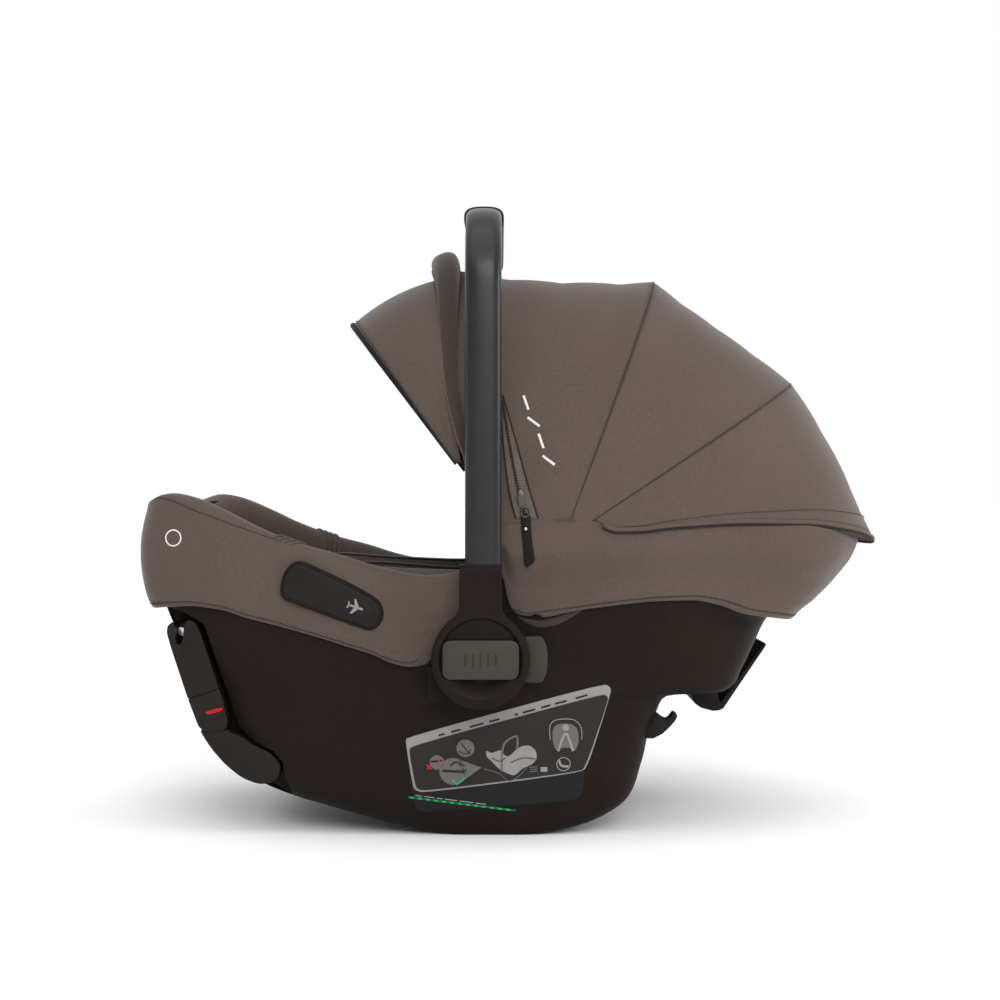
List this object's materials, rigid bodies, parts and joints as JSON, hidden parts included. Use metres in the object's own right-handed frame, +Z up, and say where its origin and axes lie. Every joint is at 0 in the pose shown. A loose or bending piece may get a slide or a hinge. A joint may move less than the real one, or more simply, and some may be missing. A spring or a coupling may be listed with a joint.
{
  "type": "infant car seat",
  "caption": "Rocker-based infant car seat with bucket seat, harness, turning carry handle, folding canopy with eyeshade and swing-out lower anchor arms.",
  "frame": {"origin": "on the floor, on the centre plane, directly under the carry handle's pivot, at the base's flat rest face", "axes": "+X towards the child's head, +Y towards the child's right, +Z up"},
  "size_m": [0.6748, 0.44, 0.5644],
  "materials": {
    "shell_plastic": "fine moulded grain",
    "foam": "beaded foam",
    "cover_fabric": "woven melange",
    "lining_fabric": "soft knit",
    "webbing": "ribbed webbing",
    "black_plastic": "satin moulded",
    "handle_plastic": "satin metallic paint",
    "leatherette": "fine grain leatherette",
    "accent_plastic": "satin olive grey",
    "gear_plastic": "natural",
    "red_plastic": "moulded",
    "steel": "zinc plated"
  },
  "bodies": {
    "shell": {"outer_shell": "shell_plastic", "bottom_cover": "shell_plastic", "foam_liner": "foam", "front_skirt": "cover_fabric", "rear_skirt": "cover_fabric", "canopy_rear_panel": "cover_fabric", "seat_lining": "lining_fabric", "infant_insert": "lining_fabric", "head_support": "lining_fabric", "crotch_pad": "lining_fabric", "shoulder_pad_left": "lining_fabric", "shoulder_pad_right": "lining_fabric", "crotch_strap": "webbing", "adjuster_strap": "webbing", "shoulder_strap_left": "webbing", "shoulder_strap_right": "webbing", "buckle_body": "black_plastic", "adjuster_housing": "black_plastic", "shoulder_belt_guide": "black_plastic", "lap_belt_guide_left": "black_plastic", "lap_belt_guide_right": "black_plastic", "rear_hook_left": "black_plastic", "rear_hook_right": "black_plastic", "hub_mount_left": "black_plastic", "hub_mount_right": "black_plastic", "canopy_mount_left": "black_plastic", "canopy_mount_right": "black_plastic", "buckle_tongue_left": "steel", "buckle_tongue_right": "steel"},
    "handle": {"handle_bar": "handle_plastic", "handle_grip": "leatherette", "handle_hub_left": "black_plastic", "handle_hub_right": "black_plastic"},
    "handle_button_left": {"handle_button_left": "accent_plastic", "lock_gear_left": "gear_plastic"},
    "handle_button_right": {"handle_button_right": "accent_plastic", "lock_gear_right": "gear_plastic"},
    "release_slider_left": {"release_slider_left": "accent_plastic"},
    "release_slider_right": {"release_slider_right": "accent_plastic"},
    "isofix_arms": {"isofix_cross_shaft": "steel", "isofix_arm_left": "black_plastic", "isofix_arm_right": "black_plastic", "isofix_connector_left": "black_plastic", "isofix_connector_right": "black_plastic"},
    "isofix_release_left": {"isofix_release_left": "red_plastic"},
    "isofix_release_right": {"isofix_release_right": "red_plastic"},
    "isofix_hook_left": {"isofix_hook_left": "steel"},
    "isofix_hook_right": {"isofix_hook_right": "steel"},
    "canopy_rear": {"canopy_rear_bow": "black_plastic", "canopy_mid_panel": "cover_fabric"},
    "canopy_mid": {"canopy_mid_bow": "black_plastic", "canopy_front_panel": "cover_fabric"},
    "canopy_front": {"canopy_front_bow": "black_plastic", "canopy_collar": "cover_fabric"},
    "eyeshade": {"eyeshade": "cover_fabric"},
    "zip_pull_left": {"zip_pull_left": "leatherette"},
    "zip_pull_right": {"zip_pull_right": "leatherette"},
    "buckle_button": {"buckle_button": "red_plastic"},
    "adjuster_button": {"adjuster_button": "black_plastic"}
  },
  "joints": [
    {"name": "handle_turn", "type": "hinge", "parent": "shell", "child": "handle", "pos_m": [0, 0, 0.16], "axis": [0, 1, 0], "range_deg": [-55, 100]},
    {"name": "handle_button_left_press", "type": "slide", "parent": "handle", "child": "handle_button_left", "axis": [0, 1, 0], "range_m": [0, 0.005], "stiffness_N_per_m": 1200},
    {"name": "handle_button_right_press", "type": "slide", "parent": "handle", "child": "handle_button_right", "axis": [0, -1, 0], "range_m": [0, 0.005], "stiffness_N_per_m": 1200},
    {"name": "release_slider_left_slide", "type": "slide", "parent": "shell", "child": "release_slider_left", "axis": [-1, 0, 0], "range_m": [0, 0.006], "stiffness_N_per_m": 800},
    {"name": "release_slider_right_slide", "type": "slide", "parent": "shell", "child": "release_slider_right", "axis": [-1, 0, 0], "range_m": [0, 0.006], "stiffness_N_per_m": 800},
    {"name": "isofix_arms_swing", "type": "hinge", "parent": "shell", "child": "isofix_arms", "pos_m": [-0.19, 0, 0.058], "axis": [0, -1, 0], "range_deg": [0, 70]},
    {"name": "isofix_release_left_pull", "type": "slide", "parent": "isofix_arms", "child": "isofix_release_left", "axis": [0.2681, 0, -0.9634], "range_m": [0, 0.008], "stiffness_N_per_m": 900},
    {"name": "isofix_hook_left_open", "type": "hinge", "parent": "isofix_arms", "child": "isofix_hook_left", "pos_m": [-0.2502, -0.14, 0.151], "axis": [0, 1, 0], "range_deg": [0, 31]},
    {"name": "isofix_release_right_pull", "type": "slide", "parent": "isofix_arms", "child": "isofix_release_right", "axis": [0.2681, 0, -0.9634], "range_m": [0, 0.008], "stiffness_N_per_m": 900},
    {"name": "isofix_hook_right_open", "type": "hinge", "parent": "isofix_arms", "child": "isofix_hook_right", "pos_m": [-0.2502, 0.14, 0.151], "axis": [0, 1, 0], "range_deg": [0, 31]},
    {"name": "canopy_rear_fold", "type": "hinge", "parent": "shell", "child": "canopy_rear", "pos_m": [0.07, 0, 0.26], "axis": [0, 1, 0], "range_deg": [0, 11], "deforming": ["canopy_rear_panel"]},
    {"name": "canopy_mid_fold", "type": "hinge", "parent": "canopy_rear", "child": "canopy_mid", "pos_m": [0.07, 0, 0.26], "axis": [0, 1, 0], "range_deg": [0, 20.4], "deforming": ["canopy_mid_panel"]},
    {"name": "canopy_front_fold", "type": "hinge", "parent": "canopy_mid", "child": "canopy_front", "pos_m": [0.07, 0, 0.26], "axis": [0, 1, 0], "range_deg": [0, 25.5], "deforming": ["canopy_front_panel"]},
    {"name": "eyeshade_fold", "type": "hinge", "parent": "canopy_front", "child": "eyeshade", "pos_m": [-0.016, 0, 0.318], "axis": [0, 1, 0], "range_deg": [0, 46], "deforming": ["eyeshade"]},
    {"name": "zip_pull_left_swing", "type": "hinge", "parent": "canopy_front", "child": "zip_pull_left", "pos_m": [0.039, -0.197, 0.281], "axis": [0, 1, 0], "range_deg": [-35, 35]},
    {"name": "zip_pull_right_swing", "type": "hinge", "parent": "canopy_front", "child": "zip_pull_right", "pos_m": [0.039, 0.197, 0.281], "axis": [0, 1, 0], "range_deg": [-35, 35]},
    {"name": "buckle_button_press", "type": "slide", "parent": "shell", "child": "buckle_button", "axis": [0, 0, -1], "range_m": [0, 0.0035], "stiffness_N_per_m": 1500},
    {"name": "adjuster_button_press", "type": "slide", "parent": "shell", "child": "adjuster_button", "axis": [0, 0, -1], "range_m": [0, 0.0024], "stiffness_N_per_m": 1500}
  ],
  "couplings": [
    {"joint": "isofix_hook_left_open", "follows": "isofix_release_left_pull", "rad_per_m": 65.4},
    {"joint": "isofix_hook_right_open", "follows": "isofix_release_right_pull", "rad_per_m": 65.4},
    {"joint": "canopy_mid_fold", "follows": "canopy_rear_fold", "ratio": 1.85},
    {"joint": "canopy_front_fold", "follows": "canopy_rear_fold", "ratio": 2.31}
  ]
}
